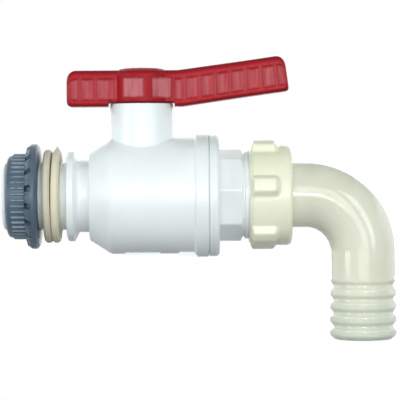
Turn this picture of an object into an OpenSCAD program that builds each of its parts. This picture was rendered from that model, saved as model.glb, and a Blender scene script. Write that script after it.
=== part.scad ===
// Quarter-turn ball valve with a tank connector on its inlet and a union
// with a 90 degree hose tail on its outlet.
//
// Frame: the origin is the centre of the tank connector's sealing face, on
// the pipe axis. +X runs along the pipe towards the outlet and +Z runs up
// the stem to the lever. All sizes are millimetres.

/* [Waterway] */
// Bore through the connectors and the hose tail
pipe_bore_d = 32; // [28:0.5:33]
// Clearance around each piece that is assembled into another
fit_gap = 0.1; // [0.06:0.01:0.1]
// Gap under each face that turns above another
turn_gap = 0.3; // [0.2:0.05:0.5]

/* [Tank connector] */
// Diameter over the thread that passes through the tank wall
tank_thread_d = 41.9; // [39:0.1:43]
// Length of the threaded spigot in front of the sealing face
tank_thread_len = 39.5; // [38:0.5:60]
// Width of the sealing flange around the thread
tank_flange_w = 7; // [5:0.1:10]
// Thickness of the sealing flange at its rim
tank_flange_t = 5.6; // [4.5:0.1:8]
// Diameter of the neck behind the flange and of its plug in the body
tank_neck_d = 44.6; // [42:0.1:47]
// Distance from the sealing face to the front of the body
tank_neck_len = 13.7; // [11:0.1:22]
// Depth of the neck's plug inside the body
tank_plug_depth = 8.3; // [6:0.1:12]

/* [Tank nut and washers] */
// Width of the nut's flange around its crown
nut_flange_w = 6.15; // [4:0.05:9]
// Thickness of the nut's flange
nut_flange_t = 7.1; // [5:0.1:9]
// Wall of the nut's crown around the thread
nut_crown_wall = 5.3; // [4:0.1:8]
// Length of the nut's crown
nut_crown_len = 12.6; // [11:0.1:16]
// Distance from the sealing face to the nut
nut_stand_off = 17.3; // [16:0.1:22]
// Number of grip ribs around the crown
nut_ribs = 44; // [30:1:48]
// Number of spanner notches around the flange
nut_notches = 18; // [12:1:18]
// Width of each rubber washer around the thread
washer_w = 7.75; // [5:0.05:10]
// Thickness of each rubber washer
washer_t = 4.6; // [3:0.1:5]
// Gap between the sealing face and the washer at the wall
wall_washer_gap = 4.5; // [3:0.1:5.5]
// Gap between the two washers
washer_spacing = 0.5; // [0.4:0.1:2]

/* [Ball and body] */
// Diameter of the ball
ball_d = 48; // [46:0.5:58]
// Bore through the ball
ball_bore_d = 30; // [24:0.5:30]
// Free space between the ball and the wall of its chamber
chamber_gap = 2.5; // [2:0.1:5]
// Height of the shoulder that the outlet plug stops against
plug_shoulder = 3.5; // [2.5:0.1:6]
// Wall of the body around the outlet plug
body_wall = 5.9; // [4:0.1:8]
// Diameter of the body's front face
body_front_d = 55; // [52:0.5:66]
// Length of the cone behind the body's front face
body_cone_len = 13.3; // [8:0.1:20]
// Height of the collar at the body's outlet above the body
body_collar_h = 2.1; // [1:0.1:5]
// Length of the collar at the body's outlet
body_collar_len = 8.6; // [5:0.1:14]
// Diameter of the tower around the stem
tower_d = 38.9; // [36:0.1:48]
// Height of the tower above the body
tower_h = 21; // [16:0.5:34]

/* [Ball seats] */
// Bore of each seat ring
seat_id = 31; // [30:0.5:33]
// Outside diameter of each seat ring
seat_od = 44; // [42:0.5:45]
// Thickness of each seat behind the ball
seat_web = 1.4; // [1:0.1:3]
// Thickness of the rubber cushion behind each seat
cushion_t = 1.8; // [1:0.1:3]
// Wall between the tank connector's plug and the inlet cushion
web_t = 2.6; // [2:0.1:8]

/* [Stem] */
// Diameter of the stem's shaft
stem_d = 16; // [14:0.5:18]
// Diameter of the stem's retaining flange
stem_flange_d = 22; // [20:0.5:24]
// Thickness of the stem's retaining flange
stem_flange_t = 4; // [3:0.1:5]
// Width of the stem's tongue in the ball
tongue_w = 8; // [6:0.5:9]
// Length of the stem's tongue across the pipe
tongue_len = 18; // [14:0.5:20]
// Depth of the tongue's slot in the ball
tongue_slot_depth = 4.5; // [3:0.1:6]
// Width over the flats of the square that drives the lever
drive_w = 11; // [8:0.1:11]
// Height of the drive square inside the lever
drive_h = 9; // [6:0.5:10]
// Thickness of the thrust washer under the tower
thrust_t = 1; // [0.8:0.1:2]

/* [Lever] */
// Reach of the short tail from the stem
lever_tail = 46.1; // [38:0.1:60]
// Reach of the long arm from the stem
lever_arm = 91.4; // [80:0.1:130]
// Diameter of the hub
lever_hub_d = 37; // [35:0.5:46]
// Width of both arms
lever_w = 22; // [18:0.5:26]
// Height of the hub
lever_hub_h = 20.2; // [20:0.1:26]
// Distance that the arms reach down below the hub
lever_skirt = 2.1; // [0:0.1:6]
// Slope of the long arm in degrees
lever_slope = 8; // [0:0.5:14]
// Depth of the grip flutes
flute_depth = 3; // [1:0.1:5]
// Distance from one grip flute to the next
flute_pitch = 9.4; // [9:0.1:12]
// Width of the rib between two grip flutes
flute_rib = 2; // [1:0.1:3]
// Angle through which the lever turns
lever_turn = 90; // [80:1:100]

/* [Outlet connector] */
// Length of the plug inside the body
plug_len = 28; // [24:0.5:40]
// Distance from the body's collar down to the connector's collar
end_collar_step = 0.3; // [0:0.1:2]
// Length of the connector's collar
end_collar_len = 6.5; // [5:0.1:10]
// Width over the flats of the octagon
octagon_w = 52.9; // [50:0.1:60]
// Length of the octagon
octagon_len = 13.7; // [8:0.1:20]
// Diameter over the union thread
union_thread_d = 54; // [53:0.1:60]
// Length of the neck between the octagon and the union thread
union_neck_len = 2.1; // [1.5:0.1:4]
// Length of the union thread
union_thread_len = 17.5; // [16.5:0.1:24]

/* [Union] */
// Thickness of the union gasket
gasket_t = 2; // [1:0.1:4]
// Thickness of the hose tail's collar inside the nut
tail_collar_t = 4.3; // [3:0.1:6]
// Wall of the union nut around the union thread
union_nut_wall = 4.05; // [3.2:0.05:7]
// Height of the union nut's lugs
union_lug_h = 3.65; // [2:0.05:6]
// Length of the union nut
union_nut_len = 26.4; // [24:0.1:30]
// Thickness of the union nut's shoulder
union_shoulder_t = 4.9; // [3:0.1:7]
// Width of each lug
union_lug_w = 12; // [8:0.1:14]
// Number of lugs
union_lugs = 6; // [4:1:8]

/* [Hose tail] */
// Outside diameter of the bent tube
tail_tube_d = 40.4; // [38.5:0.1:40.6]
// Straight length between the gasket and the bend
tail_straight = 18.6; // [14:0.1:30]
// Radius of the bend along its centre line
tail_bend_r = 35.3; // [30:0.1:50]
// Plain length below the bend
tail_leg_len = 18; // [10:0.5:40]
// Diameter at the root of the barbs
barb_root_d = 38.1; // [36:0.1:39]
// Diameter over the barbs
barb_crest_d = 41.2; // [40:0.1:43]
// Distance from one barb to the next
barb_pitch = 8.3; // [7:0.05:12]
// Number of barbs
barbs = 4; // [2:1:6]

/* [Hidden] */
$fn = 64;
eps = 0.01;
over = 1;                       // how far a cut runs past the face it opens

pipe_r = pipe_bore_d / 2;

// Tank connector, nut and washers
tank_thread_r = tank_thread_d / 2;
tank_flange_r = tank_thread_r + tank_flange_w;
tank_neck_r = tank_neck_d / 2;
thread_lead = 1.2;              // chamfer at the start of each thread
flange_round = 1.6;             // radius of the flange's front rim
flange_edge = 1.1;              // radius of the flange's back rim
flange_cone = 1.2;              // height of the slope behind the flange
nut_bore_r = tank_thread_r + fit_gap;
nut_crown_r = nut_bore_r + nut_crown_wall;
nut_flange_r = nut_crown_r + nut_flange_w;
nut_back_x = -nut_stand_off;
nut_flange_x = nut_back_x - nut_flange_t;
nut_front_x = nut_flange_x - nut_crown_len;
nut_crown_chamfer = 2.4;        // radial size of the crown's front chamfer
nut_crown_bevel = 3.6;          // axial size of the crown's front chamfer
nut_rim_slope = 2.4;            // slope on the front of the flange's rim
nut_rib_len = 8;
nut_rib_cut_r = 0.8;            // radius of the groove between two ribs
nut_notch_w = 5.2;
nut_notch_len = 3.4;
nut_notch_depth = 2.4;
washer_hole_r = tank_thread_r + 0.15;
washer_r = washer_hole_r + washer_w;
washer_bevel = 1.1;
wall_washer_x = -wall_washer_gap - washer_t;
nut_washer_x = wall_washer_x - washer_spacing - washer_t;

// Seats, measured along the pipe from the ball's centre
ball_r = ball_d / 2;
ball_bore_r = ball_bore_d / 2;
ball_gap = 0.05;                // between the ball and each seat's face
seat_ir = seat_id / 2;
seat_or = seat_od / 2;
seat_land = 1.9;                // radial width of the flat around the seat's face
seat_front = sqrt(ball_r * ball_r - pow(seat_or - seat_land, 2));
seat_back = sqrt(ball_r * ball_r - seat_ir * seat_ir) + seat_web;
seat_floor = seat_back + cushion_t;
cushion_ir = seat_ir + 1;
cushion_or = seat_or - 0.5;

// Body
body_x0 = tank_neck_len;
socket_r = tank_neck_r + fit_gap;
socket_floor_x = body_x0 + tank_plug_depth;
ball_x = socket_floor_x + web_t + seat_floor;
chamber_r = ball_r + chamber_gap;
plug_r = chamber_r + plug_shoulder;
body_r = plug_r + fit_gap + body_wall;
plug_x0 = ball_x + seat_front;
body_x1 = plug_x0 + plug_len;
body_collar_r = body_r + body_collar_h;
body_collar_x = body_x1 - body_collar_len;
body_front_r = body_front_d / 2;
front_edge = 1;                 // chamfer around the body's front face
collar_edge = 1.2;
tower_r = tower_d / 2;
tower_top = body_r + tower_h;
foot_pad_x = ball_x - 10.5;     // shallow pad along the underside
foot_pad_len = 21.4;
foot_pad_w = 18;
foot_pad_drop = 0.5;
foot_block_len = 9.7;           // block in front of the collar's underside
foot_block_w = 20;

// Stem
stem_r = stem_d / 2;
stem_flange_r = stem_flange_d / 2;
slot_floor = ball_r - tongue_slot_depth;
stem_flange_z = ball_r + 0.5;
thrust_z = stem_flange_z + stem_flange_t;
stem_bore_z = thrust_z + thrust_t;
stem_seal_d = 1.6;
stem_groove_w = 2.2;
stem_groove_r = stem_r - 1.6;
stem_seal_zs = [tower_top - 19, tower_top - 11];
drive_top = tower_top + turn_gap + drive_h - 0.2;
screw_r = 2.5;
screw_len = 14;
screw_head_r = 4.6;
screw_head_h = 3;
screw_washer_r = 6.5;
screw_washer_t = 1;

// Quarter-turn stop
stop_ir = 12.5;
stop_or = 16;
stop_h = 3;
stop_arc = 20;
stop_angle = 35;
stop_play = 1;                  // degrees of free play at each end
stop_gap = 0.3;

// Lever
lever_z0 = tower_top + turn_gap;
lever_low = lever_z0 - lever_skirt;
lever_top = lever_z0 + lever_hub_h;
lever_hub_r = lever_hub_d / 2;
lever_knee = tower_r + 3;
arm_root = tower_r + 1;         // where the arms start to reach below the hub
drive_socket_top = tower_top + turn_gap + drive_h;
hub_web = 3;
cap_r = 14.75;
cap_plug_r = 12.5;
cap_plug_h = 4;
cap_rise = 1.5;                 // height of the cap's dome above the hub
cap_seat = 1.2;                 // depth of the cap's rim in the hub
cap_pocket_z = drive_socket_top + hub_web;
lever_band = 5.5;               // plain band along the top edge
lever_lip = 3.5;                // plain lip along the bottom edge
flute_end = 2.2;                // plain wall at the end of each arm
first_rib = lever_knee + 4;     // middle of the rib nearest to the hub
hub_windows = [-128, -70];      // where each window in the hub starts
hub_window_sweep = [45, 34];

// Outlet connector
end_collar_r = body_collar_r - end_collar_step;
end_collar_x = body_x1;
octagon_x = end_collar_x + end_collar_len;
octagon_r = octagon_w / 2 / cos(180 / 8);
octagon_angle = -7.4;           // turn of the octagon from its rest position
neck_x = octagon_x + octagon_len;
union_neck_r = union_thread_d / 2 - 1.6;
union_thread_r = union_thread_d / 2;
union_thread_x = neck_x + union_neck_len;
union_face_x = union_thread_x + union_thread_len;
body_seal_section = 3.3;
body_seal_x = plug_x0 + 5.6;
body_groove_w = 4.4;
body_groove_r = plug_r - 3.2;

// Union and hose tail
gasket_x = union_face_x;
tail_x = gasket_x + gasket_t;
gasket_ir = pipe_r + 1;
gasket_or = union_thread_r - 1;
tail_collar_r = union_thread_r - 0.5;
shoulder_x = tail_x + tail_collar_t + fit_gap;
union_nut_x1 = shoulder_x + union_shoulder_t;
union_nut_x0 = union_nut_x1 - union_nut_len;
union_bore_r = union_thread_r + fit_gap;
union_nut_r = union_bore_r + union_nut_wall;
union_lug_r = union_nut_r + union_lug_h;
lug_x0 = union_nut_x0 + 1.1;
lug_len = 18;
lug_round = 2.5;
lug_angle = -11.5;
tail_tube_r = tail_tube_d / 2;
bend_x = tail_x + tail_straight;
leg_x = bend_x + tail_bend_r;
leg_z = -tail_bend_r;
barb_z = leg_z - tail_leg_len;
barb_root_r = barb_root_d / 2;
barb_crest_r = barb_crest_d / 2;
barb_land = 0.8;                // half length of the straight crest of a barb
barb_lead = 2.4;                // length of the slope from the tube to the first root
barb_end = 0.8;                 // length of the end after the last barb

// ---------------------------------------------------------------- helpers

// Points along an arc, from angle a0 to a1
function arc(c, r, a0, a1, steps = 5) =
    [for (i = [0:steps]) let (a = a0 + (a1 - a0) * i / steps)
        c + r * [cos(a), sin(a)]];

// Turns an outline of [radius, x] points around the pipe axis
module turned(points) {
    rotate([0, 90, 0]) rotate_extrude() polygon(points);
}

// Cylinder along the pipe axis from x0 to x1
module rod(r, x0, x1) {
    translate([x0, 0, 0]) rotate([0, 90, 0]) cylinder(r = r, h = x1 - x0);
}

// Ring along the pipe axis
module ring(r_in, r_out, x0, x1) {
    turned([[r_in, x0], [r_out, x0], [r_out, x1], [r_in, x1]]);
}

// Round sealing ring about the pipe axis
module pipe_o_ring(r, section, x) {
    translate([x, 0, 0]) rotate([0, 90, 0])
        rotate_extrude() translate([r, 0]) circle(d = section);
}

// Moves a piece from the origin to the stem's axis
module at_stem(z = 0) {
    translate([ball_x, 0, z]) children();
}

// Part of a ring about the stem's axis
module sector(r_in, r_out, z0, z1, from, sweep) {
    at_stem() rotate([0, 0, from]) rotate_extrude(angle = sweep)
        translate([r_in, z0]) square([r_out - r_in, z1 - z0]);
}

// ---------------------------------------------------------------- tank side

module tank_tail() {
    plug_x1 = socket_floor_x;
    groove_x = body_x0 + 3.4;
    color("#eef1ef") turned(concat(
        [[pipe_r, -tank_thread_len],
         [tank_thread_r - thread_lead, -tank_thread_len],
         [tank_thread_r, -tank_thread_len + thread_lead],
         [tank_thread_r, 0]],
        arc([tank_flange_r - flange_round, flange_round], flange_round, -90, 0),
        arc([tank_flange_r - flange_edge, tank_flange_t - flange_edge],
            flange_edge, 0, 75),
        [[tank_neck_r, tank_flange_t + flange_cone],
         [tank_neck_r, groove_x], [tank_neck_r - 1.7, groove_x],
         [tank_neck_r - 1.7, groove_x + 2.4], [tank_neck_r, groove_x + 2.4],
         [tank_neck_r, plug_x1 - 1], [tank_neck_r - 1, plug_x1],
         [pipe_r, plug_x1]]));
}

module tail_seal_ring() {
    section = 1.6;
    color("#202224")
        pipe_o_ring(tank_neck_r - 0.85, section, body_x0 + 3.4 + 1.2);
}

module tank_nut() {
    color("#5d7488") difference() {
        turned([[nut_bore_r, nut_back_x], [nut_flange_r - 1, nut_back_x],
            [nut_flange_r, nut_back_x - 1],
            [nut_flange_r, nut_flange_x + nut_rim_slope],
            [nut_flange_r - nut_rim_slope, nut_flange_x],
            [nut_crown_r, nut_flange_x],
            [nut_crown_r, nut_front_x + nut_crown_bevel],
            [nut_crown_r - nut_crown_chamfer / 3, nut_front_x + nut_crown_bevel / 3],
            [nut_crown_r - nut_crown_chamfer, nut_front_x],
            [nut_bore_r, nut_front_x]]);
        for (i = [0:nut_notches - 1])
            rotate([i * 360 / nut_notches, 0, 0])
                translate([nut_flange_x - over, -nut_notch_w / 2,
                    nut_flange_r - nut_notch_depth])
                    cube([nut_notch_len + over, nut_notch_w, nut_notch_depth + over]);
        for (i = [0:nut_ribs - 1])
            rotate([i * 360 / nut_ribs, 0, 0])
                translate([nut_flange_x - nut_rib_len, 0, nut_crown_r + 0.2])
                    rotate([0, 90, 0]) cylinder(r = nut_rib_cut_r, h = nut_rib_len, $fn = 16);
    }
}

// Flat rubber ring with bevelled rims, its left face at x
module washer(x) {
    turned([[washer_hole_r, x], [washer_r - washer_bevel, x],
        [washer_r, x + washer_bevel], [washer_r, x + washer_t - washer_bevel],
        [washer_r - washer_bevel, x + washer_t], [washer_hole_r, x + washer_t]]);
}

module nut_washer() { color("#e2ddc4") washer(nut_washer_x); }

module wall_washer() { color("#e2ddc4") washer(wall_washer_x); }

// ---------------------------------------------------------------- body

module valve_body() {
    color("#eef1ef") difference() {
        union() {
            turned([[0, body_x0], [body_front_r - front_edge, body_x0],
                [body_front_r, body_x0 + front_edge],
                [body_r, body_x0 + body_cone_len], [body_r, body_collar_x],
                [body_collar_r, body_collar_x + collar_edge],
                [body_collar_r, body_x1], [0, body_x1]]);
            at_stem() cylinder(r = tower_r, h = tower_top);
            translate([foot_pad_x, -foot_pad_w / 2, -body_r - foot_pad_drop])
                cube([foot_pad_len, foot_pad_w, body_r / 2]);
            translate([body_collar_x - foot_block_len, -foot_block_w / 2, -body_collar_r + 0.6])
                cube([foot_block_len + over, foot_block_w, body_r / 2]);
            sector(stop_ir, stop_or, tower_top - over, tower_top + stop_h,
                stop_angle - stop_arc / 2, stop_arc);
        }
        turned([[0, body_x0 - over], [socket_r, body_x0 - over],
            [socket_r, socket_floor_x], [pipe_r + 0.5, socket_floor_x],
            [pipe_r + 0.5, ball_x - seat_floor], [seat_or + fit_gap, ball_x - seat_floor],
            [seat_or + fit_gap, ball_x - seat_front], [chamber_r, ball_x - seat_front],
            [chamber_r, plug_x0 - fit_gap], [plug_r + fit_gap, plug_x0 - fit_gap],
            [plug_r + fit_gap, body_x1 + over], [0, body_x1 + over]]);
        at_stem() cylinder(r = stem_flange_r + fit_gap, h = stem_bore_z);
        at_stem(stem_bore_z - eps)
            cylinder(r = stem_r + fit_gap, h = tower_top - stem_bore_z + over);
    }
}

module end_connector() {
    groove_x0 = body_seal_x - body_groove_w / 2;
    groove_x1 = body_seal_x + body_groove_w / 2;
    seat_r = seat_or + fit_gap;
    color("#eef1ef") difference() {
        union() {
            turned([[0, plug_x0], [plug_r - 0.5, plug_x0], [plug_r, plug_x0 + 0.5],
                [plug_r, groove_x0], [body_groove_r, groove_x0],
                [body_groove_r, groove_x1], [plug_r, groove_x1],
                [plug_r, end_collar_x], [end_collar_r - 0.6, end_collar_x],
                [end_collar_r, end_collar_x + 0.6],
                [end_collar_r, octagon_x - 0.8], [end_collar_r - 0.8, octagon_x],
                [union_neck_r, octagon_x], [union_neck_r, union_thread_x],
                [union_thread_r, union_thread_x + thread_lead],
                [union_thread_r, union_face_x - thread_lead],
                [union_thread_r - thread_lead, union_face_x], [0, union_face_x]]);
            translate([octagon_x - over, 0, 0]) rotate([octagon_angle + 90, 0, 0])
                rotate([0, 90, 0]) cylinder(r = octagon_r, h = octagon_len + over, $fn = 8);
        }
        rod(pipe_r, plug_x0 - over, union_face_x + over);
        rod(seat_r, plug_x0 - over, ball_x + seat_floor);
    }
}

module body_seal_ring() {
    color("#202224")
        pipe_o_ring(body_groove_r + body_seal_section / 2, body_seal_section - 0.1, body_seal_x);
}

// Seat ring on the side given by dir, hollowed to the ball's curve
module seat(dir) {
    near = ball_x + dir * seat_front;
    far = ball_x + dir * seat_back;
    color("#f4f4f0") difference() {
        ring(seat_ir, seat_or, min(near, far), max(near, far));
        at_stem() sphere(r = ball_r + ball_gap);
    }
}

// Rubber ring that presses the seat on the side given by dir to the ball
module cushion(dir) {
    near = ball_x + dir * seat_back;
    far = ball_x + dir * seat_floor;
    color("#26282a") ring(cushion_ir, cushion_or, min(near, far), max(near, far));
}

module inlet_seat() { seat(-1); }

module outlet_seat() { seat(1); }

module inlet_cushion() { cushion(-1); }

module outlet_cushion() { cushion(1); }

// ---------------------------------------------------------------- ball and stem

module ball() {
    color("#f0f2f0") difference() {
        at_stem() sphere(r = ball_r);
        rod(ball_bore_r, ball_x - ball_r - over, ball_x + ball_r + over);
        translate([ball_x - tongue_w / 2 - fit_gap, -ball_r - over, slot_floor])
            cube([tongue_w + 2 * fit_gap, ball_d + 2 * over, tongue_slot_depth + over]);
    }
}

module stem() {
    color("#e9ebe8") difference() {
        union() {
            intersection() {
                translate([ball_x - tongue_w / 2, -tongue_len / 2, slot_floor + fit_gap])
                    cube([tongue_w, tongue_len, stem_flange_z - slot_floor + 0.5]);
                at_stem(slot_floor) cylinder(r = stem_flange_r, h = 20);
            }
            at_stem(stem_flange_z) cylinder(r = stem_flange_r, h = stem_flange_t);
            at_stem(stem_flange_z) cylinder(r = stem_r, h = tower_top - stem_flange_z);
            translate([ball_x - drive_w / 2, -drive_w / 2, tower_top - over])
                cube([drive_w, drive_w, drive_top - tower_top + over]);
        }
        for (z = stem_seal_zs)
            at_stem(z - stem_groove_w / 2) difference() {
                cylinder(r = stem_r + over, h = stem_groove_w);
                translate([0, 0, -over]) cylinder(r = stem_groove_r, h = stem_groove_w + 2 * over);
            }
        at_stem(drive_top - screw_len - 2) cylinder(r = screw_r + 0.05, h = screw_len + 3);
    }
}

// Round sealing ring on the stem at height z
module stem_seal(z) {
    color("#202224") at_stem(z) rotate_extrude()
        translate([stem_groove_r + stem_seal_d / 2, 0]) circle(d = stem_seal_d - 0.05);
}

module stem_seal_lower() { stem_seal(stem_seal_zs[0]); }

module stem_seal_upper() { stem_seal(stem_seal_zs[1]); }

module thrust_washer() {
    color("#f4f4f0") at_stem(thrust_z) difference() {
        cylinder(r = stem_flange_r, h = thrust_t);
        translate([0, 0, -over]) cylinder(r = stem_r + fit_gap, h = thrust_t + 2 * over);
    }
}

// ---------------------------------------------------------------- lever

// Height of the lever's top and bottom edges at a distance u from the stem
function edge_top(u) = lever_top + max(0, u - lever_knee) * tan(lever_slope - 0.4);
function edge_low(u) = lever_low + max(0, u - lever_knee - 3) * tan(lever_slope + 0.2);

function lever_side() = concat(
    [[-arm_root, lever_z0], [-arm_root, lever_low]],
    arc([-lever_tail + 3, lever_low + 3], 3, 270, 180),
    arc([-lever_tail + 6, lever_top - 6], 6, 180, 90),
    [[lever_knee, lever_top], [lever_arm - 8, edge_top(lever_arm - 8)]],
    arc([lever_arm - 8.4, edge_top(lever_arm - 8) - 6], 6, 82, 14),
    [[lever_arm, edge_low(lever_arm) + 2.2],
     [lever_arm - 1.6, edge_low(lever_arm - 1.6)],
     [lever_knee + 3, lever_low], [arm_root, lever_low], [arm_root, lever_z0]]);

// Side pockets of an arm, parted by ribs, that start at the hub and end at
// reach. dir is 1 for the long arm and -1 for the tail.
module flutes(dir, reach) {
    ribs = floor((reach - first_rib) / flute_pitch);
    for (i = [0:ribs + 1]) {
        near = i == 0 ? arm_root : first_rib + (i - 1) * flute_pitch + flute_rib / 2;
        far = min(first_rib + i * flute_pitch - flute_rib / 2, reach);
        u0 = dir > 0 ? near : -far;
        u1 = dir > 0 ? far : -near;
        outline = [[u0, edge_low(u0) + lever_lip], [u1, edge_low(u1) + lever_lip],
            [u1, edge_top(u1) - lever_band], [u0, edge_top(u0) - lever_band]];
        if (far > near + eps)
            for (y = [lever_w / 2 + over, -lever_w / 2 + flute_depth])
                translate([ball_x, y, 0]) rotate([90, 0, 0])
                    linear_extrude(flute_depth + over) polygon(outline);
    }
}

module lever() {
    color("#c22138") difference() {
        union() {
            intersection() {
                translate([ball_x, lever_w, 0]) rotate([90, 0, 0])
                    linear_extrude(2 * lever_w) polygon(lever_side());
                at_stem(lever_low - over) linear_extrude(60) union() {
                    translate([-lever_tail, -lever_w / 2])
                        square([lever_tail + lever_arm, lever_w]);
                    circle(r = lever_hub_r);
                }
            }
            at_stem(lever_z0) cylinder(r = lever_hub_r, h = lever_hub_h);
        }
        flutes(1, lever_arm - flute_end);
        flutes(-1, lever_tail - flute_end);
        for (side = [0, 180], i = [0:len(hub_windows) - 1])
            sector(lever_hub_r - flute_depth, lever_hub_r + over,
                lever_z0 + lever_lip, lever_top - lever_band + 1,
                side + hub_windows[i], hub_window_sweep[i]);
        at_stem(lever_z0 - over)
            translate([-drive_w / 2 - fit_gap, -drive_w / 2 - fit_gap, 0])
                cube([drive_w + 2 * fit_gap, drive_w + 2 * fit_gap, drive_h + over]);
        at_stem(lever_z0) cylinder(r = screw_r + 0.4, h = lever_hub_h);
        at_stem(cap_pocket_z) cylinder(r = cap_plug_r + fit_gap, h = lever_hub_h);
        at_stem(lever_top - cap_seat) cylinder(r = cap_r + fit_gap, h = lever_hub_h);
        sector(stop_ir - stop_gap, stop_or + stop_gap, lever_z0 - over,
            tower_top + stop_h + stop_gap,
            stop_angle - stop_arc / 2 - stop_play,
            stop_arc + lever_turn + 2 * stop_play);
    }
}

module lever_screw_washer() {
    color("#c9ccce") at_stem(cap_pocket_z) difference() {
        cylinder(r = screw_washer_r, h = screw_washer_t);
        translate([0, 0, -over]) cylinder(r = screw_r + fit_gap, h = screw_washer_t + 2 * over);
    }
}

module lever_screw() {
    head_z = cap_pocket_z + screw_washer_t;
    color("#c9ccce") difference() {
        union() {
            at_stem(drive_top - screw_len) cylinder(r = screw_r, h = head_z - drive_top + screw_len);
            at_stem(head_z) cylinder(r = screw_head_r, h = screw_head_h);
        }
        at_stem(head_z + 1) cylinder(r = 2, h = screw_head_h, $fn = 6);
    }
}

module lever_cap() {
    dome_r = (cap_r * cap_r + cap_rise * cap_rise) / (2 * cap_rise);
    rim_z = lever_top - cap_seat;
    color("#c22138") at_stem() rotate_extrude() polygon(concat(
        [[cap_plug_r - 2, rim_z - cap_plug_h], [cap_plug_r, rim_z - cap_plug_h],
         [cap_plug_r, rim_z], [cap_r, rim_z]],
        arc([0, lever_top + cap_rise - dome_r], dome_r, acos(cap_r / dome_r), 90),
        [[0, rim_z], [cap_plug_r - 2, rim_z]]));
}

// ---------------------------------------------------------------- union and hose tail

module union_nut() {
    throat_r = tail_tube_r + 0.4;
    color("#e6ecd6") difference() {
        union() {
            turned(concat(
                [[throat_r, union_nut_x0], [union_nut_r - 2.2, union_nut_x0],
                 [union_nut_r, union_nut_x0 + 3]],
                arc([union_nut_r - 2.5, union_nut_x1 - 2.5], 2.5, 0, 90),
                [[throat_r, union_nut_x1]]));
            intersection() {
                turned([[throat_r + 2, lug_x0], [union_lug_r - 0.8, lug_x0],
                    [union_lug_r, lug_x0 + 0.8], [union_lug_r, lug_x0 + lug_len - 4.5],
                    [union_nut_r, lug_x0 + lug_len], [throat_r + 2, lug_x0 + lug_len]]);
                union() for (i = [0:union_lugs - 1])
                    rotate([lug_angle + i * 360 / union_lugs + 90, 0, 0])
                        translate([lug_x0, -union_lug_w / 2, union_nut_r - 4])
                            cube([lug_len, union_lug_w, union_lug_r - union_nut_r + 5]);
            }
        }
        turned([[0, union_nut_x0 - over], [union_bore_r + 0.5, union_nut_x0 - over],
            [union_bore_r + 0.5, union_nut_x0 + 1.5], [union_bore_r, union_nut_x0 + 2],
            [union_bore_r, shoulder_x], [0, shoulder_x]]);
    }
}

module union_gasket() {
    color("#26282a") ring(gasket_ir, gasket_or, gasket_x, tail_x);
}

// Outline of the barbs as [radius, distance below the plain leg] points
function barb_profile() = concat(
    [[tail_tube_r, 0], [barb_root_r, barb_lead]],
    [for (i = [0:barbs - 1]) let (crest = barb_lead + (i + 0.57) * barb_pitch)
        for (p = [[barb_root_r + 0.35, crest - barb_land - 2.2],
                  [barb_crest_r, crest - barb_land], [barb_crest_r, crest + barb_land],
                  [barb_root_r + 0.35, crest + barb_land + 2.2],
                  [barb_root_r, crest + barb_land + 3]]) p],
    [[barb_root_r - 0.8, barb_lead + barbs * barb_pitch + barb_end]]);

module hose_elbow() {
    tail_end = barb_lead + barbs * barb_pitch + barb_end;
    color("#dde3cf") difference() {
        union() {
            ring(pipe_r, tail_tube_r, tail_x, bend_x);
            turned([[pipe_r, tail_x], [tail_collar_r - 0.5, tail_x],
                [tail_collar_r, tail_x + 0.5], [tail_collar_r, tail_x + tail_collar_t],
                [pipe_r, tail_x + tail_collar_t]]);
            translate([bend_x, 0, leg_z]) rotate([90, 0, 0])
                rotate_extrude(angle = 90) translate([tail_bend_r, 0]) circle(r = tail_tube_r);
            translate([leg_x, 0, barb_z]) cylinder(r = tail_tube_r, h = tail_leg_len);
            translate([leg_x, 0, barb_z]) mirror([0, 0, 1]) rotate_extrude()
                polygon(concat([[0, 0]], barb_profile(), [[0, tail_end]]));
        }
        translate([bend_x, 0, leg_z]) rotate([90, 0, 0])
            rotate_extrude(angle = 90) translate([tail_bend_r, 0]) circle(r = pipe_r);
        translate([leg_x, 0, barb_z - tail_end - over])
            cylinder(r = pipe_r, h = tail_end + tail_leg_len + over);
    }
}

tank_tail();
tank_nut();
nut_washer();
wall_washer();
tail_seal_ring();
valve_body();
end_connector();
body_seal_ring();
inlet_seat();
outlet_seat();
inlet_cushion();
outlet_cushion();
ball();
stem();
stem_seal_lower();
stem_seal_upper();
thrust_washer();
lever();
lever_screw();
lever_screw_washer();
lever_cap();
union_nut();
union_gasket();
hose_elbow();
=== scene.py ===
"""Looks of a plastic quarter-turn ball valve with a tank connector and a bent hose tail.

The pipe axis is X, the lever's stem is Z. Outlines are in millimetres, meshes in metres.
"""

import math

import bmesh
import bpy
import numpy as np
from mathutils import Matrix, Quaternion, Vector


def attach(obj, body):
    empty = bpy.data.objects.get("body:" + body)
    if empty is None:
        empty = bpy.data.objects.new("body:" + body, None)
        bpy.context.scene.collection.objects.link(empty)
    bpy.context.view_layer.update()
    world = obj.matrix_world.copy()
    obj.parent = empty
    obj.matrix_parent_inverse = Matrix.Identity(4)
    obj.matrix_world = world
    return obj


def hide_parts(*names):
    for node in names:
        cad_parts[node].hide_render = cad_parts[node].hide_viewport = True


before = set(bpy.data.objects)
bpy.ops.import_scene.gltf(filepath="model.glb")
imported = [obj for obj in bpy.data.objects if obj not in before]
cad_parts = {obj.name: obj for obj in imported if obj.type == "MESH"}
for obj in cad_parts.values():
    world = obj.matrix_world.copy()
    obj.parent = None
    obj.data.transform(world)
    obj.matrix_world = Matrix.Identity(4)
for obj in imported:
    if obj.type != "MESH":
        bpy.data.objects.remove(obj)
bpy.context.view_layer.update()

MM = 0.001
STEM_X = 46.123          # the ball's and the lever's axis crosses the pipe axis here
scene = bpy.context.scene


# ---------------------------------------------------------------- small tools

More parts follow.
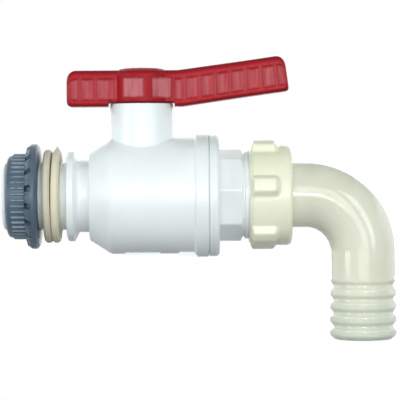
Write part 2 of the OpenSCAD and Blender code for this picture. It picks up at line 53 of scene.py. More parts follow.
def add(tree, kind, inputs=None, **settings):
    """Adds a node: settings are its own properties, inputs its sockets, each a value or a link."""
    node = tree.nodes.new(kind)
    for key, value in settings.items():
        setattr(node, key, value)
    for key, value in (inputs or {}).items():
        if isinstance(value, bpy.types.NodeSocket):
            tree.links.new(value, node.inputs[key])
        else:
            node.inputs[key].default_value = value
    return node


def tint(code):
    """Linear colour of an sRGB hex value."""
    parts = [int(code[i:i + 2], 16) / 255 for i in (1, 3, 5)]
    return [c / 12.92 if c <= 0.04045 else ((c + 0.055) / 1.055) ** 2.4 for c in parts] + [1.0]


def per_metre(size_mm):
    """Pattern scale at which one feature is size_mm across."""
    return 1000.0 / size_mm


def smoothstep(low, high, value):
    """0 up to low, 1 from high on, and a soft rise between them. low may be the larger one."""
    t = min(1.0, max(0.0, (value - low) / (high - low)))
    return t * t * (3 - 2 * t)


def softened(corners, degrees=10):
    """Closed outline with each corner (x, r, radius) rounded by its own radius."""
    outline = []
    for i, corner in enumerate(corners):
        point = Vector(corner[:2])
        radius = corner[2] if len(corner) > 2 else 0
        if radius <= 0:
            outline.append(tuple(point))
            continue
        back = Vector(corners[i - 1][:2]) - point
        ahead = Vector(corners[(i + 1) % len(corners)][:2]) - point
        half = back.angle(ahead) / 2
        reach = min(radius / math.tan(half), 0.49 * back.length, 0.49 * ahead.length)
        radius = reach * math.tan(half)
        back.normalize()
        ahead.normalize()
        centre = point + (back + ahead).normalized() * radius / math.sin(half)
        a0 = math.atan2(*reversed(point + back * reach - centre))
        a1 = math.atan2(*reversed(point + ahead * reach - centre))
        sweep = (a1 - a0 + math.pi) % (2 * math.pi) - math.pi
        steps = max(2, math.ceil(abs(sweep) / math.radians(degrees)))
        for k in range(steps + 1):
            a = a0 + sweep * k / steps
            outline.append((centre.x + radius * math.cos(a), centre.y + radius * math.sin(a)))
    return outline


def finer(outline, x0, x1, low_r, step):
    """The outline with points no further than step apart between x0 and x1 above low_r."""
    result = []
    for (xa, ra), (xb, rb) in zip(outline, outline[1:] + outline[:1]):
        result.append((xa, ra))
        inside = min(xa, xb) >= x0 - 0.01 and max(xa, xb) <= x1 + 0.01 and min(ra, rb) > low_r
        cuts = math.ceil(math.hypot(xb - xa, rb - ra) / step) if inside else 1
        result += [(xa + (xb - xa) * k / cuts, ra + (rb - ra) * k / cuts) for k in range(1, cuts)]
    return result


def along_pipe(s):
    """Place on the pipe axis: centre and the two directions across it."""
    return (s, 0, 0), (0, 1, 0), (0, 0, 1)


def turned(outline, segments, start=0.0, path=along_pipe):
    """Mesh of a closed outline of (distance, radius) points turned around a path."""
    area = sum(xa * rb - xb * ra
               for (xa, ra), (xb, rb) in zip(outline, outline[1:] + outline[:1]))
    if area < 0:
        outline = outline[::-1]
    places = [path(s) for s, _ in outline]
    centre, u, v = (np.array(column, float) for column in zip(*places))
    radius = np.array([r for _, r in outline])[:, None, None]
    turn = np.radians(start) + np.arange(segments) * 2 * np.pi / segments
    cos, sin = np.cos(turn)[None, :, None], np.sin(turn)[None, :, None]
    points = centre[:, None] + radius * (u[:, None] * cos + v[:, None] * sin)
    rings, verts = len(outline), points.reshape(-1, 3) * MM
    i, j = np.meshgrid(np.arange(rings), np.arange(segments), indexing="ij")
    i2, j2 = (i + 1) % rings, (j + 1) % segments
    faces = np.stack([i * segments + j, i2 * segments + j,
                      i2 * segments + j2, i * segments + j2], -1).reshape(-1, 4)
    mesh = bpy.data.meshes.new("turned")
    mesh.from_pydata(verts.tolist(), [], faces.tolist())
    if min(r for _, r in outline) < 1e-6:
        merged(mesh)
    return mesh


def merged(mesh):
    """Closes poles and seams, then turns every face outwards."""
    work = bmesh.new()
    work.from_mesh(mesh)
    bmesh.ops.remove_doubles(work, verts=work.verts, dist=1e-7)
    bmesh.ops.dissolve_degenerate(work, edges=work.edges, dist=1e-8)
    bmesh.ops.recalc_face_normals(work, faces=work.faces)
    work.to_mesh(mesh)
    work.free()
    return mesh


def upright(mesh):
    """Turns a mesh made around the pipe axis so that it stands on the stem's axis."""
    mesh.transform(
        Matrix.Translation((STEM_X * MM, 0, 0)) @ Matrix.Rotation(math.radians(-90), 4, "Y"))
    return mesh


def block(low, high):
    """Closed box between two corners, in mm."""
    mesh = bpy.data.meshes.new("block")
    x, y, z = zip(low, high)
    corners = [(x[i] * MM, y[j] * MM, z[k] * MM) for i in (0, 1) for j in (0, 1) for k in (0, 1)]
    mesh.from_pydata(corners, [], [
        (0, 1, 3, 2), (4, 6, 7, 5), (0, 4, 5, 1), (2, 3, 7, 6), (0, 2, 6, 4), (1, 5, 7, 3)])
    return merged(mesh)


def sector(r_in, r_out, z0, z1, start, sweep, steps=40):
    """Part of a ring around the stem's axis, in mm and degrees."""
    rows = []
    for k in range(steps + 1):
        a = math.radians(start + sweep * k / steps)
        for r, z in ((r_in, z0), (r_out, z0), (r_out, z1), (r_in, z1)):
            rows.append(((STEM_X + r * math.cos(a)) * MM, r * math.sin(a) * MM, z * MM))
    faces = [(4 * k + e, 4 * k + (e + 1) % 4, 4 * k + 4 + (e + 1) % 4, 4 * k + 4 + e)
             for k in range(steps) for e in range(4)]
    faces += [(3, 2, 1, 0), tuple(4 * steps + e for e in range(4))]
    mesh = bpy.data.meshes.new("sector")
    mesh.from_pydata(rows, [], faces)
    return merged(mesh)


def baked(holder):
    """Plain mesh of an object after its modifiers."""
    return bpy.data.meshes.new_from_object(
        holder.evaluated_get(bpy.context.evaluated_depsgraph_get()))


def combined(mesh, others, how):
    """mesh with the other meshes joined on (UNION) or cut out (DIFFERENCE)."""
    holder = bpy.data.objects.new("holder", mesh)
    scene.collection.objects.link(holder)
    tools = []
    for other in others:
        tool = bpy.data.objects.new("tool", other)
        scene.collection.objects.link(tool)
        tools.append(tool)
        step = holder.modifiers.new("step", "BOOLEAN")
        step.operation, step.solver, step.object = how, "EXACT", tool
    result = baked(holder)
    for o in (holder, *tools):
        bpy.data.objects.remove(o)
    return result


def tone_shift_where(mesh, rule):
    """Stores a shift of the surface's colour as a rule of x, y and z in mm.

    1 is the full shift and 0 none: painted sheen on the lever, painted highlight on the nut's ribs.
                                    Below 0 it is painted shade, deeper in colour than the rest.
    """
    shift_share = mesh.attributes.new("tone_shift", "FLOAT", "POINT")
    shift_share.data.foreach_set("value", [rule(*(c / MM for c in v.co)) for v in mesh.vertices])


def piece(name, mesh, body, nodes, material, crease=34):
    """Hands a finished mesh to the frame in place of its CAD nodes."""
    mesh.name = name
    mesh.materials.clear()
    mesh.materials.append(material)
    mesh.polygons.foreach_set("material_index", [0] * len(mesh.polygons))
    mesh.polygons.foreach_set("use_smooth", [True] * len(mesh.polygons))
    mesh.set_sharp_from_angle(angle=math.radians(crease))
    made = bpy.data.objects.new(name, mesh)
    scene.collection.objects.link(made)
    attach(made, body)
    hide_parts(*nodes)
    return made


# ---------------------------------------------------------------- shaping rules as node trees

def around_pipe(name, sizes, rise):
    """Tree that moves the outer skin of a turned piece away from the pipe axis.

    rise(tree, given, along, radius, turns) returns the socket with the height in mm.
    """
    tree = bpy.data.node_groups.new(name, "GeometryNodeTree")
    tree.interface.new_socket("Geometry", in_out="INPUT", socket_type="NodeSocketGeometry")
    for size in ("Skin radius", *sizes):
        tree.interface.new_socket(size, in_out="INPUT", socket_type="NodeSocketFloat")
    tree.interface.new_socket("Material", in_out="INPUT", socket_type="NodeSocketMaterial")
    tree.interface.new_socket("Geometry", in_out="OUTPUT", socket_type="NodeSocketGeometry")
    given = add(tree, "NodeGroupInput").outputs
    place = add(tree, "GeometryNodeInputPosition").outputs[0]
    part = add(tree, "ShaderNodeSeparateXYZ", {0: place}).outputs
    along = add(tree, "ShaderNodeMath", {0: part["X"], 1: 1000.0}, operation="MULTIPLY").outputs[0]
    across = add(tree, "ShaderNodeCombineXYZ", {"Y": part["Y"], "Z": part["Z"]}).outputs[0]
    length = add(tree, "ShaderNodeVectorMath", {0: across}, operation="LENGTH").outputs["Value"]
    radius = add(tree, "ShaderNodeMath", {0: length, 1: 1000.0}, operation="MULTIPLY").outputs[0]
    outward = add(tree, "ShaderNodeVectorMath", {0: across}, operation="NORMALIZE").outputs[0]
    angle = add(tree, "ShaderNodeMath", {0: part["Z"], 1: part["Y"]}, operation="ARCTAN2").outputs[0]
    turns = add(tree, "ShaderNodeMath", {0: angle, 1: 2 * math.pi}, operation="DIVIDE").outputs[0]
    height = rise(tree, given, along, radius, turns)
    skin = add(tree, "ShaderNodeMath", {0: radius, 1: given["Skin radius"]},
               operation="GREATER_THAN").outputs[0]
    on_skin = add(tree, "ShaderNodeMath", {0: height, 1: skin}, operation="MULTIPLY").outputs[0]
    metres = add(tree, "ShaderNodeMath", {0: on_skin, 1: MM}, operation="MULTIPLY").outputs[0]
    shift = add(tree, "ShaderNodeVectorMath", {0: outward, "Scale": metres},
                operation="SCALE").outputs[0]
    moved = add(tree, "GeometryNodeSetPosition", {"Geometry": given["Geometry"], "Offset": shift})
    plain = add(tree, "GeometryNodeRealizeInstances", {0: moved.outputs[0]})
    painted = add(tree, "GeometryNodeSetMaterial",
                  {"Geometry": plain.outputs[0], "Material": given["Material"]})
    add(tree, "NodeGroupOutput", {0: painted.outputs[0]})
    return tree


def between_ends(tree, given, along, slope_in, slope_out):
    """Socket that is 1 between Start and End and falls softly to 0 over the two slopes."""
    past = add(tree, "ShaderNodeMath", {0: given["Start"], 1: slope_in}, operation="ADD").outputs[0]
    short = add(tree, "ShaderNodeMath", {0: given["End"], 1: slope_out},
                operation="SUBTRACT").outputs[0]
    begin = add(tree, "ShaderNodeMapRange",
                {"Value": along, "From Min": given["Start"], "From Max": past},
                interpolation_type="SMOOTHSTEP").outputs[0]
    stop = add(tree, "ShaderNodeMapRange",
               {"Value": along, "From Min": given["End"], "From Max": short},
               interpolation_type="SMOOTHSTEP").outputs[0]
    return add(tree, "ShaderNodeMath", {0: begin, 1: stop}, operation="MULTIPLY").outputs[0]


def off_centre(tree, given, turns, number):
    """Socket with the share of a spacing from the middle of the nearest repeat, 0 to 0.5."""
    first = add(tree, "ShaderNodeMath", {0: given["First"], 1: 360.0}, operation="DIVIDE").outputs[0]
    place = add(tree, "ShaderNodeMath", {0: turns, 1: first}, operation="SUBTRACT").outputs[0]
    spaced = add(tree, "ShaderNodeMath", {0: place, 1: number}, operation="MULTIPLY").outputs[0]
    return add(tree, "ShaderNodeMath", {0: spaced, 1: 0.5}, operation="PINGPONG").outputs[0]


def screw_thread(tree, given, along, radius, turns):
    """Rounded groove that climbs one pitch each turn and runs out at both ends."""
    lead = add(tree, "ShaderNodeMath", {0: along, 1: given["Pitch"]}, operation="DIVIDE").outputs[0]
    phase = add(tree, "ShaderNodeMath", {0: lead, 1: turns}, operation="SUBTRACT").outputs[0]
    flank = add(tree, "ShaderNodeMath", {0: phase, 1: 0.5}, operation="PINGPONG").outputs[0]
    groove = add(tree, "ShaderNodeMapRange", {"Value": flank, "From Min": 0.08, "From Max": 0.44},
                 interpolation_type="SMOOTHSTEP").outputs[0]
    length = between_ends(tree, given, along, given["Run-out"], given["Run-out"])
    cut = add(tree, "ShaderNodeMath", {0: groove, 1: length}, operation="MULTIPLY").outputs[0]
    depth = add(tree, "ShaderNodeMath", {0: given["Depth"], 1: -1.0},
                operation="MULTIPLY").outputs[0]
    return add(tree, "ShaderNodeMath", {0: cut, 1: depth}, operation="MULTIPLY").outputs[0]


def repeated_lands(tree, given, along, radius, turns):
    """Ribs, lugs or notches spaced evenly around, each Width wide with soft flanks.

    Round end draws each one's far end in, as a lug's, over that length.
    """
    side = off_centre(tree, given, turns, given["Count"])
    round_way = add(tree, "ShaderNodeMath", {0: radius, 1: 2 * math.pi},
                    operation="MULTIPLY").outputs[0]
    spacing = add(tree, "ShaderNodeMath", {0: round_way, 1: given["Count"]},
                  operation="DIVIDE").outputs[0]
    side_mm = add(tree, "ShaderNodeMath", {0: side, 1: spacing}, operation="MULTIPLY").outputs[0]
    tip = add(tree, "ShaderNodeMath", {0: given["End"], 1: given["Round end"]},
              operation="SUBTRACT").outputs[0]
    beyond = add(tree, "ShaderNodeMath", {0: along, 1: tip}, operation="SUBTRACT").outputs[0]
    nose = add(tree, "ShaderNodeMath", {0: beyond, 1: 0.0}, operation="MAXIMUM").outputs[0]
    spread = add(tree, "ShaderNodeCombineXYZ", {"X": side_mm, "Y": nose}).outputs[0]
    away = add(tree, "ShaderNodeVectorMath", {0: spread}, operation="LENGTH").outputs["Value"]
    edge = add(tree, "ShaderNodeMath", {0: given["Width"], 1: 2.0}, operation="DIVIDE").outputs[0]
    inner = add(tree, "ShaderNodeMath", {0: edge, 1: given["Flank"]},
                operation="SUBTRACT").outputs[0]
    land = add(tree, "ShaderNodeMapRange", {"Value": away, "From Min": edge, "From Max": inner},
               interpolation_type="SMOOTHSTEP").outputs[0]
    length = between_ends(tree, given, along, given["Start slope"], given["End slope"])
    shape = add(tree, "ShaderNodeMath", {0: land, 1: length}, operation="MULTIPLY").outputs[0]
    return add(tree, "ShaderNodeMath", {0: shape, 1: given["Height"]},
               operation="MULTIPLY").outputs[0]


def spanner_flats(tree, given, along, radius, turns):
    """Cuts a round collar back to flat sides."""
    side = off_centre(tree, given, turns, given["Sides"])
    share = add(tree, "ShaderNodeMath", {0: side, 1: given["Sides"]}, operation="DIVIDE").outputs[0]
    angle = add(tree, "ShaderNodeMath", {0: share, 1: 2 * math.pi}, operation="MULTIPLY").outputs[0]
    cosine = add(tree, "ShaderNodeMath", {0: angle}, operation="COSINE").outputs[0]
    half = add(tree, "ShaderNodeMath", {0: given["Across flats"], 1: 2.0},
               operation="DIVIDE").outputs[0]
    flat = add(tree, "ShaderNodeMath", {0: half, 1: cosine}, operation="DIVIDE").outputs[0]
    excess = add(tree, "ShaderNodeMath", {0: flat, 1: radius}, operation="SUBTRACT").outputs[0]
    cut = add(tree, "ShaderNodeMath", {0: excess, 1: 0.0}, operation="MINIMUM").outputs[0]
    after = add(tree, "ShaderNodeMath", {0: along, 1: given["Start"]},
                operation="GREATER_THAN").outputs[0]
    before = add(tree, "ShaderNodeMath", {0: along, 1: given["End"]},
                 operation="LESS_THAN").outputs[0]
    length = add(tree, "ShaderNodeMath", {0: after, 1: before}, operation="MULTIPLY").outputs[0]
    return add(tree, "ShaderNodeMath", {0: cut, 1: length}, operation="MULTIPLY").outputs[0]


thread_rule = around_pipe(
    "Screw thread", ("Pitch", "Depth", "Start", "End", "Run-out"), screw_thread)
lands_rule = around_pipe(
    "Ribs, lugs and notches",
    ("Count", "First", "Width", "Flank", "Height",
     "Start", "Start slope", "End", "End slope", "Round end"),
    repeated_lands)
flats_rule = around_pipe(
    "Spanner flats", ("Sides", "First", "Across flats", "Start", "End"), spanner_flats)


def shaped(mesh, rule, material, sizes):
    """mesh after a rule, baked to a plain mesh. sizes are the rule's inputs by name."""
    holder = bpy.data.objects.new("holder", mesh)
    scene.collection.objects.link(holder)
    step = holder.modifiers.new("rule", "NODES")
    step.node_group = rule
    for socket in rule.interface.items_tree:
        if socket.in_out == "INPUT" and socket.name in sizes:
            step[socket.identifier] = float(sizes[socket.name])
        elif socket.in_out == "INPUT" and socket.name == "Material":
            step[socket.identifier] = material
    result = baked(holder)
    holder.modifiers.remove(step)
    bpy.data.objects.remove(holder)
    return result


# ---------------------------------------------------------------- materials

def new_material(name):
    """Empty material, with the node tree to fill."""
    material = bpy.data.materials.new(name)
    material.use_nodes = True
    material.node_tree.nodes.clear()
    return material, material.node_tree


def moulded(name, light, dark, cloud_mm, roughness, peel_mm, peel_depth_mm,
            shift_colour=None, painted_shade=None, **surface):
    """Injection moulded plastic: two close shades in soft clouds, a fine peel and uneven gloss.

    The first extra colour fills where the mesh's shift attribute is 1: a painted sheen in the lever's
    hollows, a painted highlight on the nut's ribs and a cooler tone at the hose tail's end.
    The second is painted shade, where the attribute is -1, on the lever's edges. surface holds the
    shader's own sockets.
    """
    material, tree = new_material(name)
    place = add(tree, "ShaderNodeTexCoord").outputs["Object"]
    clouds = add(tree, "ShaderNodeTexNoise",
                 {"Vector": place, "Scale": per_metre(cloud_mm), "Detail": 3.0, "Roughness": 0.55})
    specks = add(tree, "ShaderNodeTexNoise",
                 {"Vector": place, "Scale": per_metre(1.6), "Detail": 2.0, "Roughness": 0.6})
    blend = add(tree, "ShaderNodeMapRange",
                {"Value": clouds.outputs["Fac"], "From Min": 0.32, "From Max": 0.68})
    colour = add(tree, "ShaderNodeMix",
                 {"Factor": blend.outputs[0], "A": tint(dark), "B": tint(light)},
                 data_type="RGBA").outputs["Result"]
    # Colour shifts from the mesh's attribute: painted sheen and painted highlights above 0, painted
    # shade below 0, and the hose tail's cooler end.
    if shift_colour:
        tone_shift = add(tree, "ShaderNodeAttribute", attribute_name="tone_shift").outputs["Fac"]
        upright_stretch = add(tree, "ShaderNodeMapping", {"Vector": place, "Scale": (1.0, 1.0, 0.12)})
        streaks = add(tree, "ShaderNodeTexNoise",
                      {"Vector": upright_stretch.outputs[0], "Scale": per_metre(2.6), "Detail": 3.0})
        patchy = add(tree, "ShaderNodeMapRange",
                     {"Value": streaks.outputs["Fac"], "From Min": 0.3, "From Max": 0.7,
                      "To Min": 0.55, "To Max": 1.35})
        shift_share = add(tree, "ShaderNodeMath", {0: tone_shift, 1: patchy.outputs[0]},
                   operation="MULTIPLY", use_clamp=True)
        if painted_shade:
            kept = add(tree, "ShaderNodeMath", {0: tone_shift, 1: -1.0},
                       operation="MULTIPLY", use_clamp=True)
            colour = add(tree, "ShaderNodeMix",
                         {"Factor": kept.outputs[0], "A": colour, "B": tint(painted_shade)},
                         data_type="RGBA").outputs["Result"]
        colour = add(tree, "ShaderNodeMix",
                     {"Factor": shift_share.outputs[0], "A": colour, "B": tint(shift_colour)},
                     data_type="RGBA").outputs["Result"]
    gloss = add(tree, "ShaderNodeMapRange",
                {"Value": specks.outputs["Fac"], "From Min": 0.3, "From Max": 0.7,
                 "To Min": roughness - 0.04, "To Max": roughness + 0.05})
    peel = add(tree, "ShaderNodeTexNoise",
               {"Vector": place, "Scale": per_metre(peel_mm), "Detail": 2.0, "Roughness": 0.5})
    bump = add(tree, "ShaderNodeBump",
               {"Height": peel.outputs["Fac"], "Strength": 1.0, "Distance": peel_depth_mm * MM})
    shader = add(tree, "ShaderNodeBsdfPrincipled",
                 {"Base Color": colour, "Roughness": gloss.outputs[0],
                  "Normal": bump.outputs[0], **surface})
    add(tree, "ShaderNodeOutputMaterial", {"Surface": shader.outputs[0]})
    return material


# Rigid white PVC, injection moulded: cool white, satin, with faint flow clouds under the gloss
white_pvc = moulded("white_pvc_moulded", "#f5f8f8", "#eef3f3", 26.0, 0.34, 2.4, 0.006, IOR=1.53)
# Grey PVC of pipe fittings, moulded: blue-grey, a little duller, with a painted highlight on the
# crests of its ribs
grey_pvc = moulded("grey_pvc_moulded", "#495d6e", "#3c5061", 14.0, 0.40, 1.8, 0.008,
                   shift_colour="#8395a3", IOR=1.53)
# Natural nylon, moulded: ivory, glossy, light sinks a few millimetres into it
natural_nylon = moulded(
    "natural_nylon_moulded", "#f5f4de", "#efefd3", 30.0, 0.30, 3.0, 0.005, **{
        "IOR": 1.53, "Subsurface Weight": 0.3, "Subsurface Radius": (1.0, 0.95, 0.7),
        "Subsurface Scale": 3 * MM})
# Nylon of the hose tail: clearer and glossier than the nut's, and cooler towards its end
clear_nylon = moulded(
    "clear_nylon_moulded", "#ebead8", "#e2e0cb", 34.0, 0.10, 4.0, 0.003, shift_colour="#c9d8cd", **{
        "IOR": 1.53, "Subsurface Weight": 0.45, "Subsurface Radius": (1.0, 1.0, 0.8),
        "Subsurface Scale": 6 * MM})
# ABS lever, moulded: deep red, with a darker painted shade on top and below, and a painted sheen that
# makes its flutes a paler, pinkish red
red_abs = moulded("red_abs_moulded", "#ae1c28", "#a21722", 20.0, 0.34, 1.4, 0.008,
                  shift_colour="#c47278", painted_shade="#7d141c", **{"IOR": 1.5, "Specular IOR Level": 0.1})
# PTFE seats and ball skin: waxy white, low gloss
ptfe = moulded("ptfe_turned", "#f1f1ec", "#e9e9e3", 12.0, 0.45, 1.2, 0.010, IOR=1.38)


def rubber(name, light, dark, grain_mm, roughness, dust):
    """Pressed rubber: matt, finely pitted, with a trace of talc in the hollows."""
    material, tree = new_material(name)
    place = add(tree, "ShaderNodeTexCoord").outputs["Object"]
    clouds = add(tree, "ShaderNodeTexNoise",
                 {"Vector": place, "Scale": per_metre(9.0), "Detail": 4.0, "Roughness": 0.6})
    pits = add(tree, "ShaderNodeTexVoronoi", {"Vector": place, "Scale": per_metre(grain_mm)})
    base = add(tree, "ShaderNodeMix",
               {"Factor": clouds.outputs["Fac"], "A": tint(dark), "B": tint(light)},
               data_type="RGBA")
    powder = add(tree, "ShaderNodeMapRange",
                 {"Value": pits.outputs["Distance"], "From Min": 0.5, "From Max": 0.1,
                  "To Max": dust})
    colour = add(tree, "ShaderNodeMix",
                 {"Factor": powder.outputs[0], "A": base.outputs["Result"], "B": tint("#f0ece0")},
                 data_type="RGBA")
    bump = add(tree, "ShaderNodeBump",
               {"Height": pits.outputs["Distance"], "Strength": 0.6, "Distance": 0.03 * MM})
    shader = add(tree, "ShaderNodeBsdfPrincipled",
                 {"Base Color": colour.outputs["Result"], "Roughness": roughness,
                  "Normal": bump.outputs[0], "IOR": 1.5})
    add(tree, "ShaderNodeOutputMaterial", {"Surface": shader.outputs[0]})
    return material


# Natural gum rubber, pressed: pale cream, matt and faintly dusty
gum_rubber = rubber("natural_gum_rubber_pressed", "#ece5cb", "#ddd4b8", 0.8, 0.62, 0.25)
# The washer by the nut is of the same rubber, greyer and darker
greyer_gum_rubber = rubber("gum_rubber_greyer", "#dcd5c2", "#ccc4ae", 0.8, 0.66, 0.25)
# EPDM rubber rings and gaskets, pressed: near black, matt
black_rubber = rubber("epdm_rubber_pressed", "#2a2c2d", "#1f2122", 0.7, 0.55, 0.05)


def turned_steel():
    """Stainless screw, turned: fine rings around the stem's axis break the reflection."""
    material, tree = new_material("stainless_steel_turned")
    place = add(tree, "ShaderNodeTexCoord").outputs["Object"]
    centred = add(tree, "ShaderNodeMapping", {"Vector": place, "Location": (-STEM_X * MM, 0, 0)})
    rings = add(tree, "ShaderNodeTexWave",
                {"Vector": centred.outputs[0], "Scale": per_metre(0.5) / 6.28, "Distortion": 0.4},
                wave_type="RINGS", rings_direction="Z")
    polish = add(tree, "ShaderNodeMapRange",
                 {"Value": rings.outputs["Fac"], "To Min": 0.24, "To Max": 0.36})
    bump = add(tree, "ShaderNodeBump",
               {"Height": rings.outputs["Fac"], "Strength": 0.4, "Distance": 0.01 * MM})
    shader = add(tree, "ShaderNodeBsdfPrincipled",
                 {"Base Color": tint("#c9ccd0"), "Metallic": 1.0, "Roughness": polish.outputs[0],
                  "Normal": bump.outputs[0]})
    add(tree, "ShaderNodeOutputMaterial", {"Surface": shader.outputs[0]})
    return material


stainless = turned_steel()


# ---------------------------------------------------------------- tank connector

PIPE_THREAD_PITCH = 2.309    # 11 turns to the inch


def tank_spigot():
    """Threaded spigot, sealing flange and neck, with a ring groove in its plug."""
    outline = softened([
        (-39.5, 16, 0.5), (-39.5, 19.8, 0.4), (-38.4, 20.95, 0.5), (0, 20.95, 0.5),
        (0, 27.95, 1.5), (4.3, 27.95, 0.8), (7.1, 22.3, 0.8), (17.1, 22.3), (17.1, 20.6),
        (19.5, 20.6), (19.5, 22.3), (22, 22.3, 0.8), (22, 16, 0.5)])
    outline = finer(outline, -39, -0.4, 20, PIPE_THREAD_PITCH / 9)
    mesh = shaped(turned(outline, 160), thread_rule, white_pvc, {
        "Skin radius": 19.5, "Pitch": PIPE_THREAD_PITCH, "Depth": 0.6,
        "Start": -39.0, "End": -1.4, "Run-out": 1.4})
    piece("threaded_spigot", mesh, "valve", ["tank_tail"], white_pvc)


def grip_nut():
    """Flange nut with ribs around its crown and spanner notches in its rim."""
    outline = softened([
        (-37, 21.05, 0.3), (-37, 23.5, 1.2), (-35.9, 25.1, 1.4), (-33.6, 25.75, 2.0),
        (-25.3, 25.75, 0.5), (-24.9, 29.6, 2.6), (-22.4, 32.5, 2.2), (-18.9, 32.5, 1.6),
        (-17.3, 30.3, 1.2), (-17.3, 21.05, 0.4)])
    outline = finer(outline, -37, -24.5, 24.5, 0.5)
    outline = finer(outline, -25, -17.3, 27, 0.35)
    mesh = turned(outline, 396)
    mesh = shaped(mesh, lands_rule, grey_pvc, {
        "Skin radius": 24, "Count": 44, "First": 4.1, "Width": 1.9, "Flank": 0.7, "Height": 0.8,
        "Start": -34.0, "Start slope": 1.2, "End": -24.0, "End slope": 0.3, "Round end": 0})
    mesh = shaped(mesh, lands_rule, grey_pvc, {
        "Skin radius": 28.2, "Count": 18, "First": 10, "Width": 3.6, "Flank": 0.5, "Height": -3.4,
        "Start": -25.0, "Start slope": 0.4, "End": -21.0, "End slope": 0.5, "Round end": 0})
    # painted highlight along the crests of the crown's ribs
    tone_shift_where(mesh, lambda x, y, z: (
        smoothstep(25.95, 26.4, math.hypot(y, z)) if x < -25.4 else 0.0))
    piece("ribbed_nut", mesh, "tank_nut", ["tank_nut"], grey_pvc)


def rubber_washer(name, body, node, x, lean, nib, material):
    """Soft flat ring, not quite round and not quite square to the thread.

    lean is in degrees, and nib is the height in mm of the moulding's nib on top.
    """
    outline = finer(softened([
        (x, 21.1, 0.3), (x, 27.7, 0.7), (x + 1.2, 28.85, 0.7), (x + 3.4, 28.85, 0.7),
        (x + 4.6, 27.7, 0.7), (x + 4.6, 21.1, 0.3)]), x, x + 4.6, 21.5, 0.8)
    mesh = turned(outline, 180)
    middle, tilt = (x + 2.3) * MM, math.tan(math.radians(lean))
    for v in mesh.vertices:
        r, a = math.hypot(v.co.y, v.co.z), math.atan2(v.co.z, v.co.y)
        rim = smoothstep(0.024, 0.0288, r)
        swell = 0.10 * math.sin(3 * a + x) + 0.05 * math.sin(7 * a + 2 * x)
        spike = nib * math.exp(-((v.co.x - middle) / (0.9 * MM)) ** 2
                               - ((a - math.pi / 2 + 0.03) / 0.045) ** 2)
        grow = 1 + rim * (swell + spike) * MM / r
        v.co.y, v.co.z = v.co.y * grow, v.co.z * grow
        v.co.x += v.co.z * tilt + 0.05 * MM * math.sin(2 * a + x) * rim
    piece(name, mesh, body, [node], material)


# ---------------------------------------------------------------- body

FRONT_X, FRONT_R = 13.7, 27.5        # front face, where the cone begins
CONE_END_X, BODY_R = 27.0, 36.0      # end of the cone, and the round body behind it
COLLAR_R = 38.1
TOWER_R, TOWER_TOP = 19.45, 57.0


def body_radius(x):
    """Radius of the body where the tower stands."""
    return FRONT_R + (BODY_R - FRONT_R) * min(1.0, (x - FRONT_X) / (CONE_END_X - FRONT_X))


def stem_tower():
    """Tower with a small fillet that follows the round body under it."""
    fillet, count, steps = 0.9, 180, 6
    turn = [2 * math.pi * j / count for j in range(count)]

    def body_height(rho, a):
        x, y = STEM_X + rho * math.cos(a), rho * math.sin(a)
        return math.sqrt(body_radius(x) ** 2 - y * y)

    rim = [(TOWER_R - 0.6, 0), (TOWER_R - 0.17, 0.18), (TOWER_R, 0.6)]
    rows = [[(radius, TOWER_TOP - down)] * count for radius, down in rim]
    for k in range(steps + 1):
        t, row = k / steps, []
        for a in turn:
            near, far = body_height(TOWER_R, a), body_height(TOWER_R + fillet, a)
            rho = (1 - t) ** 2 * TOWER_R + 2 * t * (1 - t) * TOWER_R + t * t * (TOWER_R + fillet)
            z = (1 - t) ** 2 * (near + fillet) + 2 * t * (1 - t) * near + t * t * (far - 0.04)
            row.append((rho, z))
        rows.append(row)
    rows.append([(rho, z - 2) for rho, z in rows[-1]])
    rows.append([(TOWER_R - 2, 15)] * count)
    verts = [((STEM_X + rho * math.cos(a)) * MM, rho * math.sin(a) * MM, z * MM)
             for row in rows for a, (rho, z) in zip(turn, row)]
    faces = [(i * count + j, (i + 1) * count + j,
              (i + 1) * count + (j + 1) % count, i * count + (j + 1) % count)
             for i in range(len(rows) - 1) for j in range(count)]
    faces.append(tuple(range(count)))
    faces.append(tuple(reversed(range((len(rows) - 1) * count, len(rows) * count))))
    mesh = bpy.data.meshes.new("tower")
    mesh.from_pydata(verts, [], faces)
    return merged(mesh)


def valve_housing():
    """Body with its tower, the two pads under it and the stop for the lever."""
    shell = turned(softened([
        (FRONT_X, 0), (FRONT_X, FRONT_R, 1.5), (CONE_END_X, BODY_R, 5), (78.64, BODY_R, 0.5),
        (78.74, 37.3, 0.4), (79.9, COLLAR_R, 0.6), (86.7, COLLAR_R, 0.3), (87.24, 37.6, 0.2),
        (87.24, 0)]), 240)
    pads = [block((35.6, -9, -36.5), (57, 9, -30)), block((68.94, -10, -37.5), (80, 10, -30))]
    stop = sector(12.5, 16, 50, 60, 25, 20, 12)
    bores = turned([
        (12.7, 0), (12.7, 22.9), (FRONT_X, 22.9), (14.2, 22.4), (22, 22.4), (22, 16.5),
        (24.6, 16.5),
        (24.6, 22.1), (33.008, 22.1), (33.008, 26.5), (59.138, 26.5), (59.138, 30.1),
        (88.5, 30.1), (88.5, 0)], 160)
    stem_bore = upright(
        turned([(0, 0), (0, 11.1), (29.5, 11.1), (29.5, 8.1), (58, 8.1), (58, 0)], 96))
    mesh = combined(shell, [*pads, stem_tower(), stop], "UNION")
    mesh = combined(mesh, [bores, stem_bore], "DIFFERENCE")
    piece("valve_housing", merged(mesh), "valve", ["valve_body"], white_pvc)


OCTAGON_TURN = -7.4      # degrees by which the octagon stands off square


